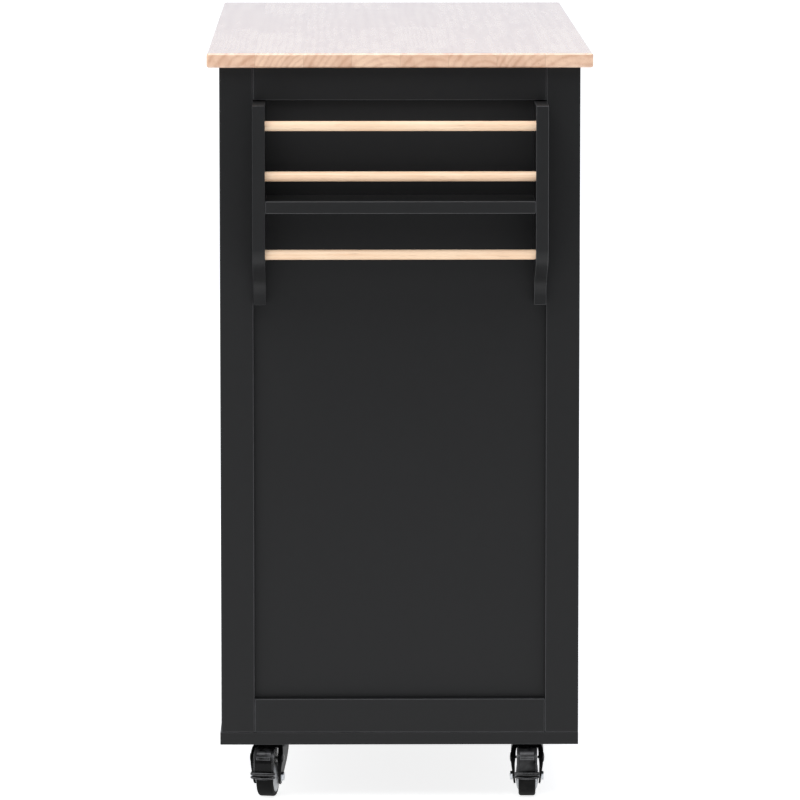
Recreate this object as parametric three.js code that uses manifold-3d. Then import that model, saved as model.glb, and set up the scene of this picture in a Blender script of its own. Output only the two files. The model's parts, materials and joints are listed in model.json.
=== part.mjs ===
// Kitchen island cart: a framed cabinet on four casters under a solid wood worktop, with two drawers
// over two doors, and a spice rack with a towel bar on one end.
// Millimetres, +Z up. The doors face -Y and the rack is on the +X end. The origin is on the floor, at
// the middle of everything the cart covers.

import * as THREE from "three";
import { mergeVertices } from "three/addons/utils/BufferGeometryUtils.js";
import Module from "manifold-3d";

const wasm = await Module();
wasm.setup();

// ---------- Driving dimensions ----------

// The worktop and the height it stands at
const workHeight = 925;
const worktopLength = 1100;
const worktopDepth = 470;
const worktopThickness = 18;
const worktopEdge = 3; // radius of its eased edges
const overhang = 15; // worktop past the cabinet, all round

// The cabinet's boards
const baseThickness = 15;
const baseLip = 1.5; // base board past the stiles, at the front only
const endThickness = 20;
const stileWidth = 41;
const topRailHeight = 40;
const bottomRailHeight = 42;
const endPanelThickness = 10;
const rebate = 10; // how far an end's panel reaches in behind its frame
const partitionThickness = 15;
const backThickness = 6;
const crossRailThickness = 15;
const crossRailDepth = 60;
const shelfThickness = 15;
const shelfSetback = 6; // shelf behind the closed doors
const shelfRise = 328; // cupboard floor to the top of the shelf

// Doors and drawers
const drawerOpening = 130; // clear height between the front stretcher and the middle rail
const frontThickness = 18;
const reveal = 2.5; // gap round a door or drawer front
const doorFrame = 60; // plain border round a door's sunk field
const doorSink = 6;
const boxWall = 12; // sides and back of a drawer
const boxHeight = 90;
const boxDepth = 370;
const boxRise = 14; // drawer box above the middle rail
const trayThickness = 5; // a drawer's bottom
const trayRise = 8; // the bottom above the sides' lower edges
const runnerThickness = 11.5;
const runnerSpace = 13; // drawer side to cabinet, which the runner has to fit
const runnerHeight = 35;
const runnerLength = 350;
const runnerWall = 1.5;

// Finger grips and pivot hinges
const gripWidth = 96; // a shallow arc cut into the upper edge of a door or drawer front
const gripDepth = 22;
const doorGripInset = 75; // door's free edge to the middle of its grip
const pivotInset = 12; // pivot from the door's hinged edge
const pivotSink = 5.5; // and from its face
const pivotPinRadius = 2;
const pivotPinReach = 8; // into the door
const pivotLeafHalf = 5; // half a leaf's width, and the radius of its round end
const pivotLeafLength = 60; // pivot to the leaf's square end

// The rack on the +X end
const bracketThickness = 15;
const bracketDepth = 90; // from the end's panel
const bracketHeight = 248;
const bracketStraight = 174; // upright front edge before the curve
const bracketFoot = 20; // depth at the lower end
const bracketToe = 11; // upright length at the lower end
const bracketDrop = 1.5; // below the end's top rail
const rackShelfDrop = 115; // bracket's top to the shelf's top
const rackShelfThickness = 15;
const dowelRadius = 6;
const dowelSetback = 15; // dowel's centre behind the bracket's front edge
const dowelSeat = 8; // depth of its blind hole in each bracket
const upperRailDrop = 25; // bracket's top to each dowel's centre
const lowerRailDrop = 86;
const towelBarDrop = 181;

// Casters
const casterHeadroom = 21; // wheel's top to the base board
const casterInsetX = 60; // swivel axis from the cabinet's end
const casterInsetY = 61; // swivel axis from the cabinet's front or back
const casterTrail = 22; // swivel axis to axle
const stemRadius = 5;
const stemLength = 12; // reach into the base board
const wheelRadius = 25;
const treadWidth = 21;
const treadDepth = 5.4;
const hubWidth = 27.6;
const axleRadius = 3;
const axleHeadRadius = 5.5;
const axleHeadHeight = 5.1; // nut or bolt head past the fork's arm
const forkHeadRadius = 19.5;
const forkHeadHeight = 4;
const crownThickness = 3.5;
const forkWall = 2.2;
const forkFlare = 3.6; // how much further apart each arm is at the crown than at the foot
const forkEndRadius = 10;
const pedalWall = 2;
const pedalSpace = 4; // wheel to the outside of the pedal's face
const pedalCover = 12.5; // wheel's top to the pedal's top
const pedalOverlap = 2.2; // pedal past the tread on each side
const pedalBend = 18.5; // pedal's top to the end of its upright face
const pedalRibRadius = 1.6;
const pedalRibDrops = [3.7, 10]; // pedal's top to each rib
const pedalRibSetbacks = [5, 0.9]; // and each rib's centre behind the face
const pedalLipReach = 6.5;
const pedalLipFlare = 2.8; // lip past the pedal's side
const pedalLipRise = 2.5; // axle to the lip's lower side
const pedalLipHeight = 7;
const pedalPivotLead = 5; // axle to the pedal's pivot, away from the swivel axis
const pedalPivotDrop = 1; // pedal's pivot below the wheel's top
const pedalPinRadius = 1.8;
const pedalPinHeadRadius = 5;
const pedalEarRadius = 3.4;

// Clearances
const seam = 0.3; // between fixed pieces that meet
const running = 0.4; // between a turning piece and what holds it

// ---------- Dimensions that follow ----------

const bodyLength = worktopLength - 2 * overhang;
const bodyDepth = worktopDepth - 2 * overhang;
const endX = bodyLength / 2; // outer faces of the ends
const bayX = endX - endThickness; // inner faces of the ends
const frontY = -bodyDepth / 2;
const backY = bodyDepth / 2;
const baseBottom = 2 * wheelRadius + casterHeadroom;
const bodyBottom = baseBottom + baseThickness;
const bodyTop = workHeight - worktopThickness;
const halfPartition = partitionThickness / 2;
const stretcherBottom = bodyTop - crossRailThickness;
const middleRailTop = stretcherBottom - drawerOpening;
const middleRailBottom = middleRailTop - crossRailThickness;
const bayWidth = bayX - halfPartition;
const insideBackY = backY - backThickness;
const panelFaceX = endX - endThickness + endPanelThickness; // the sunk face of an end
const bracketTop = bodyTop - topRailHeight - bracketDrop;
const bracketOuterY = bodyDepth / 2 - stileWidth - seam;
const bracketInnerY = bracketOuterY - bracketThickness;
const bracketFrontX = panelFaceX + bracketDepth;
const dowelX = bracketFrontX - dowelSetback;
const gripRadius = (gripWidth ** 2 / 4 + gripDepth ** 2) / (2 * gripDepth);
const pivotX = bayX - reveal - pivotInset;
const pivotY = frontY + pivotSink;
const pivotLeafThickness = (reveal - 3 * seam) / 2; // two leaves share the gap above or below a door
const casterX = endX - casterInsetX;
const casterY = backY - casterInsetY;

// ---------- Materials ----------

function paint(color, roughness, metalness = 0) {
  return new THREE.MeshStandardMaterial({ color, roughness, metalness });
}
const blackPaint = paint(0x26262a, 0.45);
const worktopWood = paint(0xd9b48f, 0.4);
const dowelWood = paint(0xe8cba4, 0.5);
const drawerBoard = paint(0x303033, 0.6);
const nickel = paint(0xb8b6b0, 0.3, 1);
const zinc = paint(0xb4b8bc, 0.35, 1);
const blackSteel = paint(0x1c1c1e, 0.4, 0.6);
const blackPlastic = paint(0x1a1a1b, 0.4);
const greyPlastic = paint(0xb9babc, 0.5);
const blackRubber = paint(0x202022, 0.7);

// ---------- Geometry helpers ----------

const unitX = new THREE.Vector3(1, 0, 0);
const unitY = new THREE.Vector3(0, 1, 0);
const unitZ = new THREE.Vector3(0, 0, 1);

// A box between its lowest and highest corners.
function block(low, high) {
  const size = high.map((value, i) => value - low[i]);
  const centre = high.map((value, i) => (value + low[i]) / 2);
  return new THREE.BoxGeometry(...size).translate(...centre);
}

// A closed outline from its corners.
function outline(corners) {
  return new THREE.Shape(corners.map(([a, b]) => new THREE.Vector2(a, b)));
}

// An outline pushed along an axis. Along x it is drawn in (y, z), along y in (x, z), along z in (x, y).
function prism(shape, axis, from, to, curveSegments = 10) {
  const options = { depth: to - from, bevelEnabled: false, curveSegments };
  const geometry = new THREE.ExtrudeGeometry(shape, options);
  const turn = new THREE.Matrix4();
  if (axis === "x") turn.makeBasis(unitY, unitZ, unitX).setPosition(from, 0, 0);
  if (axis === "y") turn.makeBasis(unitX, unitZ, unitY.clone().negate()).setPosition(0, to, 0);
  if (axis === "z") turn.setPosition(0, 0, from);
  return geometry.applyMatrix4(turn);
}

// A solid cylinder along y.
function rod(radius, from, to, x, z, segments = 24) {
  const geometry = new THREE.CylinderGeometry(radius, radius, to - from, segments);
  return geometry.translate(x, (from + to) / 2, z);
}

// A profile of [radius, height] turned about y.
function turned(profile, segments) {
  return new THREE.LatheGeometry(outline(profile).getPoints(), segments);
}

function solidOf(geometry) {
  const bare = geometry.clone();
  bare.deleteAttribute("normal");
  bare.deleteAttribute("uv");
  const merged = mergeVertices(bare, 1e-4);
  return new wasm.Manifold(
    new wasm.Mesh({
      numProp: 3,
      vertProperties: merged.attributes.position.array,
      triVerts: new Uint32Array(merged.index.array),
    }),
  );
}

function geometryOf(solid) {
  const mesh = solid.getMesh();
  const geometry = new THREE.BufferGeometry();
  geometry.setAttribute("position", new THREE.BufferAttribute(mesh.vertProperties, 3));
  geometry.setIndex(new THREE.BufferAttribute(mesh.triVerts, 1));
  geometry.computeVertexNormals();
  return geometry;
}

function cut(geometry, tools) {
  const left = tools.reduce((solid, tool) => solid.subtract(solidOf(tool)), solidOf(geometry));
  return geometryOf(left);
}

function join(geometries) {
  return geometryOf(geometries.map(solidOf).reduce((all, one) => all.add(one)));
}

// ---------- The cart ----------

const cart = new THREE.Group();

function add(name, geometry, material, parent = cart) {
  const mesh = new THREE.Mesh(geometry, material);
  mesh.name = name;
  parent.add(mesh);
}

function addWorktop() {
  const halfLength = worktopLength / 2 - worktopEdge;
  const halfDepth = worktopDepth / 2 - worktopEdge;
  const plan = outline([
    [-halfLength, -halfDepth],
    [halfLength, -halfDepth],
    [halfLength, halfDepth],
    [-halfLength, halfDepth],
  ]);
  const geometry = new THREE.ExtrudeGeometry(plan, {
    depth: worktopThickness - 2 * worktopEdge - seam,
    bevelThickness: worktopEdge,
    bevelSize: worktopEdge,
    bevelSegments: 3,
  });
  add("worktop", geometry.translate(0, 0, bodyTop + worktopEdge + seam), worktopWood);
}

// One end of the cabinet: two stiles, two rails between them, and a panel glued into the rebate
// behind all four. side is 1 for the rack end and -1 for the plain end.
function addEnd(name, side) {
  const outer = side * endX;
  const step = side * panelFaceX;
  const inner = side * bayX;
  const low = bodyBottom + seam;
  const high = bodyTop;
  const stileEdge = backY - stileWidth;

  for (const [place, face] of [["front", -1], ["rear", 1]]) {
    const section = outline([
      [outer, face * backY],
      [outer, face * stileEdge],
      [step, face * stileEdge],
      [step, face * (stileEdge + rebate)],
      [inner, face * (stileEdge + rebate)],
      [inner, face * backY],
    ]);
    add(`${name}_${place}_stile`, prism(section, "z", low, high), blackPaint);
  }

  const railEnd = stileEdge - seam;
  for (const [place, edge, lip] of [
    ["top", high, high - topRailHeight],
    ["bottom", low, bodyBottom + bottomRailHeight],
  ]) {
    const behind = lip + Math.sign(edge - lip) * rebate;
    const section = outline([
      [outer, edge],
      [outer, lip],
      [step, lip],
      [step, behind],
      [inner, behind],
      [inner, edge],
    ]);
    add(`${name}_${place}_rail`, prism(section, "y", -railEnd, railEnd), blackPaint);
  }

  const panelHalf = stileEdge + rebate - seam;
  const panelLow = bodyBottom + bottomRailHeight - rebate + seam;
  const panelHigh = high - topRailHeight + rebate - seam;
  const faces = [inner, step - side * seam].sort((a, b) => a - b);
  const panel = block([faces[0], -panelHalf, panelLow], [faces[1], panelHalf, panelHigh]);
  add(`${name}_panel`, panel, blackPaint);
}

function addCarcass() {
  const base = block([-endX, frontY - baseLip, baseBottom], [endX, backY, bodyBottom]);
  const sockets = [-casterX, casterX].flatMap((x) => {
    return [-casterY, casterY].map((y) => {
      const hole = new THREE.Shape().absarc(x, y, stemRadius + seam, 0, 2 * Math.PI);
      return prism(hole, "z", baseBottom - 1, baseBottom + stemLength + seam);
    });
  });
  add("base_board", cut(base, sockets), blackPaint);

  const railEnd = bayX - seam;
  const railBackY = frontY + crossRailDepth;
  const stretcherFrontY = insideBackY - seam - crossRailDepth;
  const rails = [
    ["front_stretcher", frontY, railBackY, stretcherBottom, bodyTop],
    ["rear_stretcher", stretcherFrontY, insideBackY - seam, stretcherBottom, bodyTop],
    ["middle_rail", frontY, railBackY, middleRailBottom, middleRailTop],
  ];
  for (const [name, y0, y1, z0, z1] of rails) {
    add(name, block([-railEnd, y0, z0], [railEnd, y1, z1]), blackPaint);
  }

  // The partition is notched where the three rails cross it.
  const low = bodyBottom + seam;
  const notchY = railBackY + seam;
  const partition = outline([
    [frontY, low],
    [insideBackY - seam, low],
    [insideBackY - seam, stretcherBottom - seam],
    [stretcherFrontY - seam, stretcherBottom - seam],
    [stretcherFrontY - seam, bodyTop],
    [notchY, bodyTop],
    [notchY, stretcherBottom - seam],
    [frontY, stretcherBottom - seam],
    [frontY, middleRailTop + seam],
    [notchY, middleRailTop + seam],
    [notchY, middleRailBottom - seam],
    [frontY, middleRailBottom - seam],
  ]);
  add("centre_partition", prism(partition, "x", -halfPartition, halfPartition), blackPaint);

  const back = block([-railEnd, insideBackY, low], [railEnd, backY, bodyTop]);
  add("back_panel", back, blackPaint);

  const shelfTop = bodyBottom + shelfRise;
  const shelfFrontY = frontY + frontThickness + shelfSetback;
  for (const [name, side] of [["shelf_left", -1], ["shelf_right", 1]]) {
    const ends = [side * (halfPartition + seam), side * railEnd].sort((a, b) => a - b);
    const low = [ends[0], shelfFrontY, shelfTop - shelfThickness];
    add(name, block(low, [ends[1], insideBackY - seam, shelfTop]), blackPaint);
  }
}

// The round tool that leaves a finger grip in the upper edge of a front.
function grip(x, top) {
  return rod(gripRadius, frontY - 1, frontY + frontThickness + 1, x, top + gripRadius - gripDepth, 96);
}

// A drawer: a slab front, a folded box of two sides and a back, and a thin bottom.
function addDrawer(name, side) {
  const middleX = side * (halfPartition + bayWidth / 2);
  const halfFront = bayWidth / 2 - reveal;
  const frontLow = [middleX - halfFront, frontY, middleRailTop + reveal];
  const frontHigh = [middleX + halfFront, frontY + frontThickness, stretcherBottom - reveal];
  const slab = block(frontLow, frontHigh);
  add(`${name}_front`, cut(slab, [grip(middleX, frontHigh[2])]), blackPaint);

  const halfBox = bayWidth / 2 - runnerSpace;
  const halfInside = halfBox - boxWall;
  const boxFrontY = frontY + frontThickness + seam;
  const boxBackY = boxFrontY + boxDepth;
  const boxBottom = middleRailTop + boxRise;
  const box = outline([
    [middleX - halfBox, boxFrontY],
    [middleX - halfInside, boxFrontY],
    [middleX - halfInside, boxBackY - boxWall],
    [middleX + halfInside, boxBackY - boxWall],
    [middleX + halfInside, boxFrontY],
    [middleX + halfBox, boxFrontY],
    [middleX + halfBox, boxBackY],
    [middleX - halfBox, boxBackY],
  ]);
  add(`${name}_box`, prism(box, "z", boxBottom, boxBottom + boxHeight), drawerBoard);

  const trayBottom = boxBottom + trayRise;
  const trayLow = [middleX - halfInside + seam, boxFrontY, trayBottom];
  const trayHigh = [middleX + halfInside - seam, boxBackY - boxWall - seam, trayBottom + trayThickness];
  add(`${name}_bottom`, block(trayLow, trayHigh), drawerBoard);

  // One C-shaped runner on each side of the drawer, open towards it.
  const runnerMiddle = boxBottom + boxHeight / 2;
  const zLow = runnerMiddle - runnerHeight / 2;
  const zHigh = runnerMiddle + runnerHeight / 2;
  for (const [place, hand] of [["left", -1], ["right", 1]]) {
    const wall = middleX + hand * (bayWidth / 2 - seam);
    const web = wall - hand * runnerWall;
    const lip = wall - hand * runnerThickness;
    const section = outline([
      [wall, zLow],
      [wall, zHigh],
      [lip, zHigh],
      [lip, zHigh - runnerWall],
      [web, zHigh - runnerWall],
      [web, zLow + runnerWall],
      [lip, zLow + runnerWall],
      [lip, zLow],
    ]);
    const runner = prism(section, "y", boxFrontY, boxFrontY + runnerLength);
    add(`${name}_${place}_runner`, runner, zinc);
  }
}

// The flat leaf of a pivot hinge: round about the pivot, and reaching along the door towards its
// free edge. side is the end of the cart that the door hangs on.
function pivotLeaf(side, from, to) {
  const x = side * pivotX;
  const round = side * (Math.PI / 2);
  const leaf = new THREE.Shape();
  leaf.absarc(x, pivotY, pivotLeafHalf, -round, round, false);
  leaf.lineTo(x - side * pivotLeafLength, pivotY + side * pivotLeafHalf);
  leaf.lineTo(x - side * pivotLeafLength, pivotY - side * pivotLeafHalf);
  return prism(leaf, "z", from, to);
}

// A door with a sunk field and a finger grip near its free edge. It turns on two pivot hinges. Each
// has one leaf on the cabinet, with the pin, and one on the door, with the hole.
function addDoor(name, side) {
  const doorLow = bodyBottom + reveal;
  const doorHigh = middleRailBottom - reveal;
  const edges = [side * (halfPartition + reveal), side * (bayX - reveal)].sort((a, b) => a - b);
  const slab = block([edges[0], frontY, doorLow], [edges[1], frontY + frontThickness, doorHigh]);
  const field = block(
    [edges[0] + doorFrame, frontY - 1, doorLow + doorFrame],
    [edges[1] - doorFrame, frontY + doorSink, doorHigh - doorFrame],
  );
  const upright = (radius, a, b) => {
    const circle = new THREE.Shape().absarc(side * pivotX, pivotY, radius, 0, 2 * Math.PI);
    return prism(circle, "z", Math.min(a, b), Math.max(a, b));
  };
  const cuts = [field, grip(side * (halfPartition + reveal + doorGripInset), doorHigh)];

  for (const [place, edge, out] of [
    ["upper", doorHigh, 1],
    ["lower", doorLow, -1],
  ]) {
    const level = (steps) => edge + out * (steps * seam + (steps - 1) * pivotLeafThickness);
    const leafAt = (start) => {
      const ends = [start, start + out * pivotLeafThickness].sort((a, b) => a - b);
      return pivotLeaf(side, ...ends);
    };
    const hole = upright(pivotPinRadius + running, edge - out * (pivotPinReach + seam), edge + out * reveal);
    const pin = upright(pivotPinRadius, edge - out * pivotPinReach, level(2) + out * pivotLeafThickness);
    cuts.push(hole);
    add(`${name}_${place}_hinge`, join([leafAt(level(2)), pin]), nickel);
    add(`${name}_${place}_hinge_leaf`, cut(leafAt(level(1)), [hole]), nickel);
  }
  add(name, cut(slab, cuts), blackPaint);
}

// The spice rack: two shaped brackets, a shelf, two rails that keep jars on it, and a towel bar.
function addRack() {
  const bottom = bracketTop - bracketHeight;
  const curveTop = bracketTop - bracketStraight;
  const curveBottom = bottom + bracketToe;
  const reach = (curveTop - curveBottom) * 0.55;
  const footX = panelFaceX + bracketFoot;
  const side = new THREE.Shape();
  side.moveTo(panelFaceX + seam, bottom);
  side.lineTo(footX, bottom);
  side.lineTo(footX, curveBottom);
  side.bezierCurveTo(footX, curveBottom + reach, bracketFrontX, curveTop - reach, bracketFrontX, curveTop);
  side.lineTo(bracketFrontX, bracketTop);
  side.lineTo(panelFaceX + seam, bracketTop);

  const dowels = [
    ["rack_upper_rail", bracketTop - upperRailDrop],
    ["rack_lower_rail", bracketTop - lowerRailDrop],
    ["rack_towel_bar", bracketTop - towelBarDrop],
  ];
  const seatEnd = bracketInnerY + dowelSeat;
  const holes = dowels.map(([, z]) => rod(dowelRadius + seam, -seatEnd, seatEnd, dowelX, z));
  const front = prism(side, "y", -bracketOuterY, -bracketInnerY, 14);
  const rear = prism(side, "y", bracketInnerY, bracketOuterY, 14);
  add("rack_front_bracket", cut(front, holes), blackPaint);
  add("rack_rear_bracket", cut(rear, holes), blackPaint);

  for (const [name, z] of dowels) {
    const end = seatEnd - seam;
    add(name, rod(dowelRadius, -end, end, dowelX, z), dowelWood);
  }

  const shelfTop = bracketTop - rackShelfDrop;
  const shelfEnd = bracketInnerY - seam;
  const low = [panelFaceX + seam, -shelfEnd, shelfTop - rackShelfThickness];
  add("rack_shelf", block(low, [bracketFrontX, shelfEnd, shelfTop]), blackPaint);
}

const crownTop = baseBottom - seam - forkHeadHeight;
const crownBottom = crownTop - crownThickness;
const crownFront = forkHeadRadius - 0.5;
const crownBack = 4.5 - forkHeadRadius;
const tyreInside = wheelRadius - treadDepth;
const forkFootHalf = hubWidth / 2 + running + forkWall; // fork's half width below the axle
const forkTopHalf = forkFootHalf + forkFlare; // and under the crown
const axleHeadReach = forkFootHalf + axleHeadHeight;
const pedalHalf = treadWidth / 2 + pedalOverlap;
const pedalInner = pedalHalf - pedalWall;
const pedalFaceX = casterTrail + wheelRadius + pedalSpace; // swivel axis to the pedal's upright face
const pedalTopZ = 2 * wheelRadius + pedalCover;
const pedalLipX = pedalFaceX + pedalLipReach;
const pedalLipHalf = pedalHalf + pedalLipFlare;
const pedalLipLow = wheelRadius + pedalLipRise;
const pedalLipHigh = pedalLipLow + pedalLipHeight;
const pedalPivotX = casterTrail + pedalPivotLead;
const pedalPivotZ = 2 * wheelRadius - pedalPivotDrop;

// A fork's arm, on the side that hand gives: a strip that leans in towards its foot, seen along x,
// kept only inside the arm's outline, seen along y.
function forkArm(hand) {
  const foot = wheelRadius - forkEndRadius - 1;
  const edge = (inset) => [
    new THREE.Vector2(hand * (forkTopHalf - inset), crownTop),
    new THREE.Vector2(hand * (forkTopHalf + 1 - inset), crownTop - 16),
    new THREE.Vector2(hand * (forkFootHalf + 2.5 - inset), wheelRadius + 14),
    new THREE.Vector2(hand * (forkFootHalf - inset), foot),
  ];
  const outer = new THREE.CubicBezierCurve(...edge(0)).getPoints(10);
  const inner = new THREE.CubicBezierCurve(...edge(forkWall)).getPoints(10).reverse();
  const strip = new THREE.Shape([...outer, ...inner]);

  const side = new THREE.Shape();
  side.moveTo(crownBack, crownTop);
  side.lineTo(crownBack, crownBottom);
  side.quadraticCurveTo(
    casterTrail - forkEndRadius - 2,
    wheelRadius + 20,
    casterTrail - forkEndRadius,
    wheelRadius,
  );
  side.absarc(casterTrail, wheelRadius, forkEndRadius, Math.PI, 2 * Math.PI, false);
  side.quadraticCurveTo(casterTrail + forkEndRadius + 3, crownBottom - 6, crownFront, crownTop);
  const reach = forkTopHalf + 2;
  const profile = solidOf(prism(side, "y", -reach, reach, 8));
  return geometryOf(solidOf(prism(strip, "x", -2 * reach, 2 * reach)).intersect(profile));
}

// A fork: the stem and swivel head, a crown, two arms, the axle riveted through them, and a stub on
// each side for the brake pedal. The swivel axis is x = 0, the floor is z = 0, and the wheel trails
// towards +x.
function fork(braked) {
  const upright = (radius, from, to, segments) => {
    const geometry = new THREE.CylinderGeometry(radius, radius, to - from, segments);
    return geometry.rotateX(Math.PI / 2).translate(0, 0, (from + to) / 2);
  };
  const pieces = [
    upright(stemRadius, crownBottom + 1, baseBottom + stemLength, 16),
    upright(forkHeadRadius, crownTop - 0.5, crownTop + forkHeadHeight, 32),
    block([crownBack, -forkTopHalf, crownBottom], [crownFront, forkTopHalf, crownTop]),
    forkArm(1),
    forkArm(-1),
    rod(axleRadius, -axleHeadReach, axleHeadReach, casterTrail, wheelRadius, 16),
  ];
  for (const hand of [-1, 1]) {
    const head = [hand * forkFootHalf, hand * axleHeadReach].sort((a, b) => a - b);
    pieces.push(rod(axleHeadRadius, ...head, casterTrail, wheelRadius, 6));
    if (!braked) continue;
    const pin = [hand * (pedalInner + 0.4), hand * forkTopHalf].sort((a, b) => a - b);
    pieces.push(rod(pedalPinRadius, ...pin, pedalPivotX, pedalPivotZ, 12));
    const cap = [hand * (forkTopHalf - 1.5), hand * (forkTopHalf + 1.5)].sort((a, b) => a - b);
    pieces.push(rod(pedalPinHeadRadius, ...cap, pedalPivotX, pedalPivotZ, 16));
  }
  return join(pieces);
}

// A closed ring turned about the axle from its section's [radius, y] points.
function wheelRing(section, segments) {
  const points = [...section, section[0]].map(([radius, y]) => new THREE.Vector2(radius, y));
  return new THREE.LatheGeometry(points, segments).translate(casterTrail, 0, wheelRadius);
}

function tyre() {
  const half = treadWidth / 2;
  const shoulder = 3;
  const section = [
    [tyreInside, -half],
    [wheelRadius - shoulder, -half],
    [wheelRadius - shoulder * 0.3, -half + shoulder * 0.3],
    [wheelRadius, -half + shoulder],
    [wheelRadius, half - shoulder],
    [wheelRadius - shoulder * 0.3, half - shoulder * 0.3],
    [wheelRadius - shoulder, half],
    [tyreInside, half],
  ];
  return wheelRing(section, 32);
}

// The hub is domed on both sides, which stand out past the tread.
function hub() {
  const half = hubWidth / 2;
  const bore = axleRadius + running;
  const rim = tyreInside - seam;
  const side = [
    [rim, treadWidth / 2 - 0.5],
    [rim - 3, half - 1.4],
    [rim - 8, half - 0.3],
    [bore + 3, half],
    [bore, half],
  ];
  const section = [...side, ...side.map(([radius, y]) => [radius, -y]).reverse()];
  return wheelRing(section, 32);
}

// A brake pedal: a hood over the wheel's trailing side with a lip to step on, two ribs across its
// upper part, and an ear on each side that turns on the fork's stub.
function pedal() {
  const face = pedalFaceX;
  const top = pedalTopZ;
  const bend = top - pedalBend;
  const back = pedalPivotX - 3;
  const hood = new THREE.Shape();
  hood.moveTo(face, pedalLipLow);
  hood.lineTo(face + 0.5, bend);
  hood.quadraticCurveTo(face, top - 7.5, face - 6, top - 3.5);
  hood.quadraticCurveTo(face - 11, top, face - 16, top);
  hood.lineTo(back, top);
  hood.lineTo(back, top - pedalWall);
  hood.lineTo(face - 16, top - pedalWall);
  hood.quadraticCurveTo(face - 11, top - pedalWall, face - 7.2, top - 5.1);
  hood.quadraticCurveTo(face - 2, top - 9.1, face + 0.5 - pedalWall, bend);
  hood.lineTo(face - pedalWall, pedalLipLow);

  const ear = new THREE.Shape();
  ear.moveTo(back, top - 1);
  ear.lineTo(pedalPivotX - pedalEarRadius, pedalPivotZ);
  ear.absarc(pedalPivotX, pedalPivotZ, pedalEarRadius, Math.PI, 1.7 * Math.PI, false);
  ear.quadraticCurveTo(face - 9, pedalPivotZ - 1, face - 1, pedalLipHigh + 1.5);
  ear.lineTo(face - 0.6, bend);
  ear.quadraticCurveTo(face - 1, top - 8.5, face - 7, top - 4.5);
  ear.quadraticCurveTo(face - 11, top - 1, face - 16, top - 1);

  const lip = new THREE.Shape();
  lip.moveTo(face - pedalWall, -pedalHalf);
  lip.quadraticCurveTo(face + 1, -pedalLipHalf, pedalLipX - 3, -pedalLipHalf);
  lip.quadraticCurveTo(pedalLipX - 0.5, -pedalLipHalf + 1, pedalLipX - 0.4, -pedalHalf + 2);
  lip.quadraticCurveTo(pedalLipX + 0.4, 0, pedalLipX - 0.4, pedalHalf - 2);
  lip.quadraticCurveTo(pedalLipX - 0.5, pedalLipHalf - 1, pedalLipX - 3, pedalLipHalf);
  lip.quadraticCurveTo(face + 1, pedalLipHalf, face - pedalWall, pedalHalf);

  const ribHalf = pedalInner - 2;
  const ribs = pedalRibDrops.map((drop, i) => {
    return rod(pedalRibRadius, -ribHalf, ribHalf, face - pedalRibSetbacks[i], top - drop, 10);
  });
  const holeHalf = pedalHalf + 1;
  const hole = rod(pedalPinRadius + running, -holeHalf, holeHalf, pedalPivotX, pedalPivotZ, 12);
  const whole = join([
    prism(hood, "y", -pedalHalf, pedalHalf, 6),
    prism(ear, "y", pedalInner, pedalHalf, 6),
    prism(ear, "y", -pedalHalf, -pedalInner, 6),
    prism(lip, "z", pedalLipLow, pedalLipHigh, 6),
    ...ribs,
  ]);
  return cut(whole, [hole]);
}

// A caster stands under each corner. turn is how far it has swivelled, in degrees.
function addCaster(name, x, y, turn, braked) {
  const swivel = new THREE.Group();
  swivel.position.set(x, y, 0);
  swivel.rotation.z = THREE.MathUtils.degToRad(turn);
  cart.add(swivel);
  add(`${name}_fork`, fork(braked), blackSteel, swivel);
  add(`${name}_wheel`, hub(), greyPlastic, swivel);
  add(`${name}_tyre`, tyre(), blackRubber, swivel);
  if (braked) add(`${name}_brake_pedal`, pedal(), blackPlastic, swivel);
}

addWorktop();
addEnd("rack_end", 1);
addEnd("plain_end", -1);
addCarcass();
addDrawer("left_drawer", -1);
addDrawer("right_drawer", 1);
addDoor("left_door", -1);
addDoor("right_door", 1);
addRack();

addCaster("rack_front_caster", casterX, -casterY, -11, true);
addCaster("rack_rear_caster", casterX, casterY, -2, true);
addCaster("plain_front_caster", -casterX, -casterY, 14, false);
addCaster("plain_rear_caster", -casterX, casterY, -6, false);

// The rack reaches past the worktop at one end.
const rackPast = bracketFrontX - worktopLength / 2;
cart.position.x = -rackPast / 2;

export default cart;
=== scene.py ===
# %% [markdown]
# # A kitchen island cart
# The cart is a black painted cabinet on four casters, under a worktop of solid wood, with a spice
# rack and a towel bar on one end. Its sizes and its moving parts are fixed already: they come in as
# the CAD frame. What is left to do here is everything that an eye notices: eased edges, turned
# dowels, pressed steel, screws, wood grain and paint. Each cell below does one such step.

# %% Load the frame
import json
import math

import bmesh
import bpy
from mathutils import Matrix, Vector


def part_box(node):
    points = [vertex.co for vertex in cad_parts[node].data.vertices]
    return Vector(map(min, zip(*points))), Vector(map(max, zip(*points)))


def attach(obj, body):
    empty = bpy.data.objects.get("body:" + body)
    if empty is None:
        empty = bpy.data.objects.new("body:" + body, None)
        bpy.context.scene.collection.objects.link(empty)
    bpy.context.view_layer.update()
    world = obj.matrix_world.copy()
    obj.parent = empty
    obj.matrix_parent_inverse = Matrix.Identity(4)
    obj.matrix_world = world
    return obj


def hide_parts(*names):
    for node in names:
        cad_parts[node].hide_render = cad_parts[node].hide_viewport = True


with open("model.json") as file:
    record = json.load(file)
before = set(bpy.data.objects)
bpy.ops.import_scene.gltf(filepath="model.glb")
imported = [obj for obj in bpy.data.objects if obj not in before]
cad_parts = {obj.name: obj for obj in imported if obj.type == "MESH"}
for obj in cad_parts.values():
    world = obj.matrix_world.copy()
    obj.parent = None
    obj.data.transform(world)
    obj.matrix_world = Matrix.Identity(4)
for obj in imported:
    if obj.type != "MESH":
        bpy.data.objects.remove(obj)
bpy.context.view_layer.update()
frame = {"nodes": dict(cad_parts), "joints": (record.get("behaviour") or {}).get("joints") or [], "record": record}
record = frame["record"]
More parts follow.
